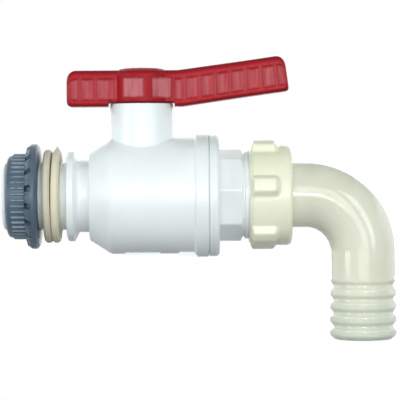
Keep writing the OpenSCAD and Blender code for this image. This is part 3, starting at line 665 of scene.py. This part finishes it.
def octagon_connector():
    """Collar with two fine grooves, an octagon for a spanner and the union's thread."""
    outline = softened([
        (59.24, 22.1), (59.24, 29.6, 0.3), (59.74, 30, 0.2), (62.64, 30), (62.64, 26.8),
        (67.04, 26.8), (67.04, 30), (87.24, 30), (87.24, 36.4), (87.7, 36.9, 0.2), (87.75, 37.8, 0.25),
        (88.9, 37.8, 0.15), (89.05, 37.5, 0.15), (89.45, 37.5, 0.15), (89.6, 37.8, 0.15),
        (90.5, 37.8, 0.15), (90.65, 37.5, 0.15), (91.0, 37.5, 0.15), (91.15, 37.8, 0.15),
        (92.0, 37.8, 0.5), (93.5, 36.9, 0.5), (93.74, 36.2, 0.3), (93.74, 28.45, 0.4),
        (107.0, 28.45, 0.3), (108.4, 25.4, 0.2), (108.9, 25.4, 0.2), (109.7, 27.0, 0.4),
        (126.0, 27.0, 0.4), (127.04, 25.9, 0.3), (127.04, 16, 0.4), (67.65, 16, 0.3), (67.65, 22.1)])
    outline = finer(outline, 93.9, 108.45, 25, 0.4)
    outline = finer(outline, 109.4, 127.1, 25, PIPE_THREAD_PITCH / 9)
    mesh = turned(outline, 288, start=OCTAGON_TURN)
    mesh = shaped(mesh, flats_rule, white_pvc, {
        "Skin radius": 24, "Sides": 8, "First": OCTAGON_TURN + 22.5, "Across flats": 52.9,
        "Start": 93.75, "End": 108.9})
    mesh = shaped(mesh, thread_rule, white_pvc, {
        "Skin radius": 24, "Pitch": PIPE_THREAD_PITCH, "Depth": 1.35,
        "Start": 111.6, "End": 126.8, "Run-out": 1.2})
    piece("octagon_connector", mesh, "valve", ["end_connector"], white_pvc, crease=28)


# ---------------------------------------------------------------- lever

# u runs along the lever from the stem's axis. v is u on the front side and -u on the back.
LEVER_LOW, LEVER_UNDER, LEVER_TOP = 55.2, 57.3, 77.5    # underside of arms, of hub, and the top
UNDER_REACH = 20.45                                     # the hub's raised underside ends here
FLAT_WINDOW_END = 19.9
HUB_SHEEN_REACH, WINDOW_SHEEN_REACH = 14.9, 19.6                    # reach of the painted sheen in the hub's windows
TAIL, ARM, KNEE = 46.1, 89.95, 22.45                    # two ends, and where the arm rises
SLOPE = math.radians(7.6)
HUB_R, ARM_HALF = 18.5, 11.0
BAND, LIP = 5.4, 3.9                                    # plain edges above and below flutes
RIBS = [-37.9, -28.5, 26.45, 35.85, 45.25, 54.65, 64.05, 73.45, 82.85]
RIB_W, FLUTE_DEPTH = 1.6, 1.4


def lever_heights(u):
    """Bottom and top of the lever at a distance u from the stem."""
    low = LEVER_LOW if abs(u) > UNDER_REACH else LEVER_UNDER
    low += max(0, u - KNEE - 3) * math.tan(SLOPE + 0.0105)
    top = LEVER_TOP + max(0, u - KNEE) * math.tan(SLOPE)
    for reach, corner, up in (
            (TAIL, 6, True), (TAIL, 3, False), (ARM, 6.2, True), (ARM, 1.8, False)):
        left = reach - (-u if reach == TAIL else u)
        if left < corner:
            drop = corner - math.sqrt(max(0, corner ** 2 - (corner - left) ** 2))
            low, top = (low, top - drop) if up else (low + drop, top)
    return low, top


def lever_half_width(u):
    """Half width in plan, and the plan direction that the side faces."""
    hub = math.sqrt(max(0, HUB_R ** 2 - u * u))
    if hub > ARM_HALF:
        return hub, (u / HUB_R, hub / HUB_R)
    half = ARM_HALF
    for reach in (TAIL + u, ARM - u):
        if reach < 3:
            half -= 3 - math.sqrt(max(0, 9 - (3 - reach) ** 2))
    return half, (0.0, 1.0)


def flute(u, v):
    """Depth of the grip flutes along an arm: a hollow between each two ribs.

    The first one starts closer to the hub where no window runs into the arm (v below 0).
    """
    first = 16.6 if v < 0 else 20.0
    last = 88.2 if u > 0 else 43.9
    ribs = [abs(r) for r in sorted(RIBS, key=abs) if r * u > 0]
    edges = [first] + [e for r in ribs for e in (r - RIB_W / 2, r + RIB_W / 2)] + [last]
    for a, b in zip(edges[::2], edges[1::2]):
        if a < abs(u) < b:
            t = abs(2 * (abs(u) - a) / (b - a) - 1)
            return FLUTE_DEPTH * (1 - t ** 2.2)
    return 0.0


def flute_band(low, top, z):
    """1 at the height of the flutes, 0 on the plain edges above and below them."""
    under_top = smoothstep(top - BAND + 0.5, top - BAND - 1.3, z)
    return under_top * smoothstep(low + LIP - 0.6, low + LIP + 1.4, z)


def side_band(u, low, top, z):
    """flute_band, with the arms' underside as its foot where the hub's is raised."""
    return flute_band(LEVER_LOW if abs(u) < UNDER_REACH else low, top, z)


def hub_band(z):
    """1 at the height of the hub's windows."""
    under_top = smoothstep(LEVER_TOP - 3.9, LEVER_TOP - 6.0, z)
    return under_top * smoothstep(LEVER_UNDER + 2.5, LEVER_UNDER + 4.5, z)


def round_window(v):
    """1 inside the hub's curved window."""
    phi = math.degrees(math.asin(max(-1, min(1, v / HUB_R))))
    return smoothstep(-38.5, -30.5, phi) * (1 - smoothstep(1.0, 8.0, phi))


def flat_window(v):
    """1 inside the window that runs into the long arm."""
    return smoothstep(5.8, 7.4, v) * (1 - smoothstep(18.0, 18.8, v))


def flat_window_depth(half, v):
    """How far the flat window's floor lies inside the hub's side. It slants towards the arm."""
    return max(0.0, half - 15.2 + (v - 6.6) * 0.5)


def lever_section(u):
    """Closed section across the lever as (u, y, z) points."""
    low, top = lever_heights(u)
    half, (nu, ny) = lever_half_width(u)
    crown = min(3.5, (top - low) / 3)
    foot = min(2.2 if abs(u) > UNDER_REACH else 1.1, (top - low) / 4)
    points = []
    for side in (-1, 1):
        run = []
        for k in range(7):
            a = math.radians(-90 + 15 * k)
            run.append((half - foot + foot * math.cos(a), low + foot + foot * math.sin(a), 0))
        z0, z1 = low + foot, top - crown
        for k in range(1, 44):
            t = k / 44
            run.append((half, z0 + (z1 - z0) * t, 1))
        for k in range(7):
            a = math.radians(15 * k)
            run.append((half - crown + crown * math.cos(a), top - crown + crown * math.sin(a), 0))
        face = []
        for y, z, on_side in run:
            x = u
            if on_side:
                v = -side * u
                if half > ARM_HALF or 0 < v < FLAT_WINDOW_END:
                    depth = 1.7 * round_window(v) if half > ARM_HALF else 0.0
                    x, y = x - nu * depth * hub_band(z), y - ny * depth * hub_band(z)
                    y -= flat_window(v) * flat_window_depth(half, v) * hub_band(z)
                else:
                    y -= flute(u, v) * side_band(u, low, top, z)
            face.append((x, side * y, z))
        points += face if side < 0 else face[::-1]
    return points


def lever_mesh():
    """Lever without its pocket and holes, from sections that crowd where it curves."""
    stations = set()
    for k in range(13):
        a = math.pi / 2 * k / 12
        for corner in (6.2, 3.0):
            stations.add(round(-TAIL + corner * (1 - math.cos(a)), 4))
            stations.add(round(ARM - corner * (1 - math.cos(a)), 4))
    stations |= {round(-TAIL + 6.2 + 0.3 * k, 4)
                 for k in range(int((TAIL + ARM - 12.4) / 0.3) + 1)}
    stations |= {-20.46, -20.44, 20.44, 20.46}      # either side of UNDER_REACH
    stations = sorted(stations)
    kept = [stations[0]]
    for u in stations[1:]:
        if u - kept[-1] > 0.015:
            kept.append(u)
    rows = [lever_section(u) for u in kept]
    verts = []
    for u, row in zip(kept, rows):
        low, top = lever_heights(u)
        lean = math.tan(SLOPE) * smoothstep(60, ARM, u)
        verts += [((STEM_X + x - (z - (low + top) / 2) * lean) * MM, y * MM, z * MM)
                  for x, y, z in row]
    n = len(rows[0])
    faces = [(i * n + j, i * n + (j + 1) % n, (i + 1) * n + (j + 1) % n, (i + 1) * n + j)
             for i in range(len(rows) - 1) for j in range(n)]
    faces += [tuple(reversed(range(n))), tuple((len(rows) - 1) * n + j for j in range(n))]
    mesh = bpy.data.meshes.new("lever")
    mesh.from_pydata(verts, [], faces)
    return merged(mesh)


def painted_sheen_and_shade(x, y, z):
    """Painted light on the lever: painted shade, a deeper red, over its top and bottom edges, and a
    painted sheen, paler and pinkish, in its hollows, most of all in the hub's windows.
    """
    u = max(-TAIL, min(ARM, x - STEM_X))
    low, top = lever_heights(u)
    # painted shade along the top and bottom edges, and over the top and under faces
    edge = max(smoothstep(top - 2.6, top - 0.2, z), smoothstep(low + 2.3, low + 0.3, z))
    if edge > 0 or abs(y) < 6.5:
        return -edge
    v = u if y < 0 else -u
    if abs(u) < HUB_SHEEN_REACH or 0 < v < WINDOW_SHEEN_REACH:
        return hub_band(z) * max(0.9 * round_window(v), flat_window(v))
    hollow = smoothstep(0.05, 0.7, lever_half_width(u)[0] - abs(y))
    return side_band(u, low, top, z) * (0.17 + 0.27 * hollow)


def red_lever():
    """Lever with the cap's pocket, the screw's hole, the square socket and the stop's slot."""
    pocket = upright(turned([
        (69.3, 0), (69.3, 12.6), (76.3, 12.6), (76.3, 14.85), (80, 14.85), (80, 0)], 120))
    screw_way = upright(turned([(57, 0), (57, 2.9), (70, 2.9), (70, 0)], 32))
    socket = block((STEM_X - 5.6, -5.6, 56), (STEM_X + 5.6, 5.6, 66.3))
    stop_slot = sector(12.2, 16.3, 56, 60.3, 24, 112)
    mesh = combined(lever_mesh(), [pocket, screw_way, socket, stop_slot], "DIFFERENCE")
    # painted sheen in the flutes and windows, painted shade on the top and bottom
    tone_shift_where(mesh, painted_sheen_and_shade)
    piece("red_lever", mesh, "lever", ["lever"], red_abs, crease=32)


def domed_cap():
    """Cap that plugs the pocket, with a low dome that falls steeply at its rim."""
    plug_foot, cap_r = 73.0 - 0.7, 14.75
    rim = [(plug_foot, 10.5), (plug_foot, 12.5), (76.3, 12.5), (76.3, cap_r)]
    dome = [(77.4 + 1.7 * math.sqrt(max(0, 1 - (r / cap_r) ** 5)), r)
            for r in [cap_r, 14.7, 14.55, 14.3, 13.9, 13.3, 12.4, 11, 9, 6.5, 4, 2, 0]]
    mesh = upright(turned(rim + dome + [(76.3, 0), (76.3, 10.5)], 120))
    piece("domed_cap", mesh, "lever", ["lever_cap"], red_abs)


# ---------------------------------------------------------------- union and hose tail

def lugged_nut():
    """Union nut with six lugs, rounded towards the hose tail."""
    outline = softened([
        (111.94, 27.6, 0.2), (111.94, 28.7, 0.9), (114.9, 31.15, 2.0), (138.34, 31.15, 2.8),
        (138.34, 20.6, 0.6), (133.44, 20.6, 0.3), (133.44, 27.1, 0.3), (113.94, 27.1),
        (113.44, 27.6)])
    outline = finer(outline, 111.9, 138.4, 28.2, 0.4)
    mesh = shaped(turned(outline, 360), lands_rule, natural_nylon, {
        "Skin radius": 28.0, "Count": 6, "First": 48.5, "Width": 14.4, "Flank": 4.4, "Height": 3.7,
        "Start": 112.2, "Start slope": 2.4, "End": 131.4, "End slope": 4.4, "Round end": 5.0})
    piece("lugged_nut", mesh, "union_nut", ["union_nut"], natural_nylon)


# The hose tail begins at x TAIL_START. Lengths along its centre line count from there.
TAIL_START, STRAIGHT, BEND_R = 129.038, 18.6, 35.3
TUBE_R, TAIL_BORE_R = 20.2, 16
BEND_END = STRAIGHT + BEND_R * math.pi / 2
LEG_END = BEND_END + 18.0
BARBS = [LEG_END + 2.4 + (k + 0.57) * 8.3 for k in range(4)]
TAIL_END = LEG_END + 36.4


def hose_way(s):
    """Centre line of the hose tail: straight, a quarter bend, then straight down."""
    if s <= STRAIGHT:
        return (TAIL_START + s, 0, 0), (0, 1, 0), (0, 0, 1)
    a = (min(s, BEND_END) - STRAIGHT) / BEND_R
    x = TAIL_START + STRAIGHT + BEND_R * math.sin(a)
    z = BEND_R * (math.cos(a) - 1) - max(0, s - BEND_END)
    return (x, 0, z), (0, 1, 0), (math.sin(a), 0, math.cos(a))


def barb_radius(s):
    """Outside radius below the plain leg: rounded barbs on a slimmer root."""
    root = TUBE_R - 1.15 * smoothstep(LEG_END, LEG_END + 2.4, s)
    crest = max(1 - smoothstep(1.3, 3.95, abs(s - c)) for c in BARBS)
    end = 0.8 * smoothstep(TAIL_END - 1.6, TAIL_END, s)
    return root + 1.55 * crest * smoothstep(LEG_END, LEG_END + 2.4, s) - end


def barbed_elbow():
    """Hose tail: shoulder under the union nut, bent tube, plain leg and four barbs."""
    outline = softened([
        (0, TAIL_BORE_R, 0.4), (0, 26.5, 0.5), (4.3, 26.5, 0.5), (4.3, TUBE_R, 1.2), (8.0, TUBE_R)])
    s, step = 8.0, 1.3
    while s < LEG_END - 0.5:
        s += step
        outline.append((min(s, LEG_END), TUBE_R))
    s = LEG_END
    while s < TAIL_END - 0.6:
        s += 0.35
        outline.append((s, barb_radius(s)))
    end_r = barb_radius(TAIL_END)
    outline += [(TAIL_END - 0.15, end_r - 0.1), (TAIL_END, end_r - 0.4),
                (TAIL_END, 16.5), (TAIL_END - 0.15, 16.15), (TAIL_END - 0.5, TAIL_BORE_R)]
    s = TAIL_END - 0.5
    while s > 3:
        s -= 2.2
        outline.append((s, TAIL_BORE_R))
    mesh = turned(outline, 144, path=hose_way)
    # colour turns cooler and darker towards the end
    tone_shift_where(mesh, lambda x, y, z: 0.45 * smoothstep(-50, -88, z))
    piece("barbed_elbow", mesh, "hose_elbow", ["hose_elbow"], clear_nylon)


# ---------------------------------------------------------------- make everything

tank_spigot()
grip_nut()
rubber_washer("rubber_washer_nut", "nut_washer", "nut_washer", x=-14.3, lean=-0.45, nib=0.0,
              material=greyer_gum_rubber)
rubber_washer("rubber_washer_wall", "wall_washer", "wall_washer", x=-9.1, lean=0.45, nib=2.2,
              material=gum_rubber)
valve_housing()
octagon_connector()
red_lever()
domed_cap()
lugged_nut()
barbed_elbow()

INNER_FINISHES = {
    "ball": ptfe, "inlet_seat": ptfe, "outlet_seat": ptfe, "thrust_washer": ptfe,
    "inlet_cushion": black_rubber, "outlet_cushion": black_rubber, "body_seal_ring": black_rubber,
    "tail_seal_ring": black_rubber, "stem_seal_lower": black_rubber, "stem_seal_upper": black_rubber,
    "union_gasket": black_rubber, "stem": white_pvc, "lever_screw": stainless,
    "lever_screw_washer": stainless}
for node, finish in INNER_FINISHES.items():
    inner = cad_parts[node]
    inner.data.materials.clear()
    inner.data.materials.append(finish)


# ---------------------------------------------------------------- studio

def seen_directly(tree, ray):
    """Socket that is 1 for the eye, reflections and light through clear parts."""
    either = add(tree, "ShaderNodeMath", {0: ray["Is Camera Ray"], 1: ray["Is Glossy Ray"]},
                 operation="MAXIMUM")
    return add(tree, "ShaderNodeMath", {0: either.outputs[0], 1: ray["Is Transmission Ray"]},
               operation="MAXIMUM").outputs[0]


def pale_floor():
    """Plain floor under the hanging part: white to the eye, and it keeps the part's shadow."""
    material, tree = new_material("matt_white_paper")
    place = add(tree, "ShaderNodeTexCoord").outputs["Object"]
    fibres = add(tree, "ShaderNodeTexNoise", {"Vector": place, "Scale": per_metre(4.0)})
    paper = add(tree, "ShaderNodeMix",
                {"Factor": fibres.outputs["Fac"], "A": tint("#f4f4f4"), "B": tint("#fafafa")},
                data_type="RGBA")
    ray = add(tree, "ShaderNodeLightPath").outputs
    shade = add(tree, "ShaderNodeMix",
                {"Factor": ray["Is Camera Ray"], "A": tint("#8c8e90"), "B": paper.outputs["Result"]},
                data_type="RGBA")
    matt = add(tree, "ShaderNodeBsdfDiffuse", {"Color": shade.outputs["Result"]})
    glow = add(tree, "ShaderNodeEmission", {"Color": (1, 1, 1, 1), "Strength": 1.0})
    from_part = add(tree, "ShaderNodeVectorMath", {0: place}, operation="LENGTH").outputs["Value"]
    far = add(tree, "ShaderNodeMapRange",
              {"Value": from_part, "From Min": 0.35, "From Max": 1.0,
               "To Min": 0.7, "To Max": 0.995},
              interpolation_type="SMOOTHSTEP")
    share = add(tree, "ShaderNodeMath", {0: seen_directly(tree, ray), 1: far.outputs[0]},
                operation="MULTIPLY")
    mixed = add(tree, "ShaderNodeMixShader",
                {0: share.outputs[0], 1: matt.outputs[0], 2: glow.outputs[0]})
    add(tree, "ShaderNodeOutputMaterial", {"Surface": mixed.outputs[0]})
    mesh = bpy.data.meshes.new("floor")
    reach, z = 12.0, -0.24
    corners = [(-reach, -reach, z), (reach, -reach, z), (reach, reach, z), (-reach, reach, z)]
    mesh.from_pydata(corners, [], [(0, 1, 2, 3)])
    mesh.materials.append(material)
    floor = bpy.data.objects.new("floor", mesh)
    scene.collection.objects.link(floor)


def white_room(fill):
    """World that the eye and reflections see as white, and that fills the shadows evenly."""
    world = bpy.data.worlds.new("white_room")
    scene.world = world
    world.use_nodes = True
    tree = world.node_tree
    tree.nodes.clear()
    ray = add(tree, "ShaderNodeLightPath").outputs
    soft = add(tree, "ShaderNodeBackground", {"Color": (0.68, 1.0, 1.02, 1), "Strength": fill})
    white = add(tree, "ShaderNodeBackground", {"Color": (1, 1, 1, 1), "Strength": 1.0})
    mixed = add(tree, "ShaderNodeMixShader",
                {0: seen_directly(tree, ray), 1: soft.outputs[0], 2: white.outputs[0]})
    add(tree, "ShaderNodeOutputWorld", {"Surface": mixed.outputs[0]})


def lamp(name, azimuth, elevation, distance, width, height, radiance):
    """Soft panel aimed at the part, in degrees and metres. Its power grows with its area.

    Azimuth 0 is the camera's side and 90 the outlet's.
    """
    a, e = math.radians(azimuth), math.radians(elevation)
    aim = Vector((0.08, 0, 0))
    place = aim + distance * Vector(
        (math.sin(a) * math.cos(e), -math.cos(a) * math.cos(e), math.sin(e)))
    light = bpy.data.lights.new(name, "AREA")
    light.shape = "RECTANGLE"
    light.size, light.size_y = width, height
    light.energy = radiance * math.pi * width * height
    made = bpy.data.objects.new(name, light)
    made.location = place
    made.rotation_mode = "QUATERNION"
    made.rotation_quaternion = (aim - place).to_track_quat("-Z", "Y")
    scene.collection.objects.link(made)


def camera():
    """Long lens from far off, square to the pipe and a little above it."""
    data = bpy.data.cameras.new("camera")
    data.sensor_width, data.lens = 36.0, 164.4
    data.clip_start, data.clip_end = 0.05, 50
    made = bpy.data.objects.new("camera", data)
    made.location = (0.072, -1.135, 0.0218)
    look = Vector((0.0819, 0, -0.0029)) - made.location
    made.rotation_mode = "QUATERNION"
    roll = Quaternion((0, 0, 1), math.radians(-0.38))
    made.rotation_quaternion = look.to_track_quat("-Z", "Y") @ roll
    scene.collection.objects.link(made)
    scene.camera = made


pale_floor()
white_room(0.22)
lamp("front_panel", 0, 12, 1.9, 1.4, 1.2, 2.85)
lamp("camera_lamp", 4, 3, 1.7, 0.20, 0.10, 60)
lamp("left_panel", -58, 8, 1.7, 0.65, 0.8, 5.0)
lamp("right_panel", 38, 16, 1.7, 0.45, 1.1, 4.0)
lamp("inlet_panel", -115, 8, 1.9, 1.6, 1.2, 1.1)
lamp("outlet_panel", 115, 8, 1.9, 1.6, 1.2, 1.1)
lamp("back_panel", 180, 8, 2.0, 2.4, 1.6, 1.6)
camera()
scene.view_settings.view_transform = "Standard"
